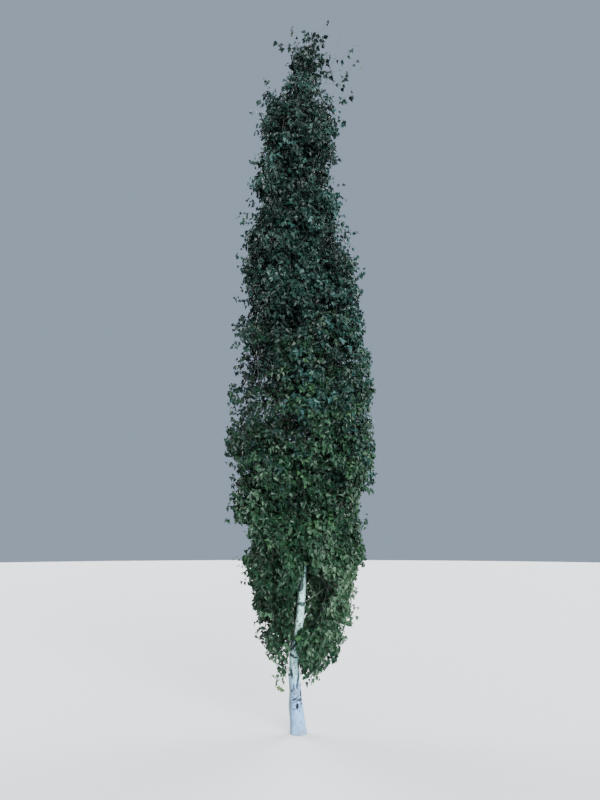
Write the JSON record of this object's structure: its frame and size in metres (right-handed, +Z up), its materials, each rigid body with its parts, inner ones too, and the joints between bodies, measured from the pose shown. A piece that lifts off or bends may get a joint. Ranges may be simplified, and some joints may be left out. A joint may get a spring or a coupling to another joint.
{
  "type": "silver birch tree",
  "caption": "Slender upright silver birch in summer leaf: white trunk with a flared foot, steep thin boughs and a narrow column of dark green foliage.",
  "frame": {"origin": "centre of the flat cut under the trunk, at ground level", "axes": "+Z is up; +Y points away from the viewer of the picture, through the tree; +X is to that viewer's right"},
  "size_m": [1.359, 1.2943, 7.1406],
  "materials": {
    "bark_white": "smooth white bark with dark flecks",
    "bark_grey": "matt grey-brown young bark",
    "leaves": "satin dark green"
  },
  "bodies": {
    "root": {"bough_arching_shoot": "bark_grey", "bough_tier_1_a": "bark_grey", "bough_tier_1_b": "bark_grey", "bough_tier_1_c": "bark_grey", "bough_tier_1_d": "bark_grey", "bough_tier_2_a": "bark_grey", "bough_tier_2_b": "bark_grey", "bough_tier_2_c": "bark_grey", "bough_tier_2_d": "bark_grey", "bough_tier_3_a": "bark_grey", "bough_tier_3_b": "bark_grey", "bough_tier_3_c": "bark_grey", "bough_tier_3_d": "bark_grey", "bough_tier_4_a": "bark_grey", "bough_tier_4_b": "bark_grey", "bough_tier_4_c": "bark_grey", "bough_tier_4_d": "bark_grey", "bough_tier_5_a": "bark_grey", "bough_tier_5_b": "bark_grey", "bough_tier_5_c": "bark_grey", "bough_tier_6_a": "bark_grey", "bough_tier_6_b": "bark_grey", "bough_tier_6_c": "bark_grey", "leaves_arching_shoot": "leaves", "leaves_leader": "leaves", "leaves_tier_1_a": "leaves", "leaves_tier_1_b": "leaves", "leaves_tier_1_c": "leaves", "leaves_tier_1_d": "leaves", "leaves_tier_2_a": "leaves", "leaves_tier_2_b": "leaves", "leaves_tier_2_c": "leaves", "leaves_tier_2_d": "leaves", "leaves_tier_3_a": "leaves", "leaves_tier_3_b": "leaves", "leaves_tier_3_c": "leaves", "leaves_tier_3_d": "leaves", "leaves_tier_4_a": "leaves", "leaves_tier_4_b": "leaves", "leaves_tier_4_c": "leaves", "leaves_tier_4_d": "leaves", "leaves_tier_5_a": "leaves", "leaves_tier_5_b": "leaves", "leaves_tier_5_c": "leaves", "leaves_tier_6_a": "leaves", "leaves_tier_6_b": "leaves", "leaves_tier_6_c": "leaves", "low_shoot": "bark_grey", "trunk": "bark_white"}
  },
  "joints": []
}
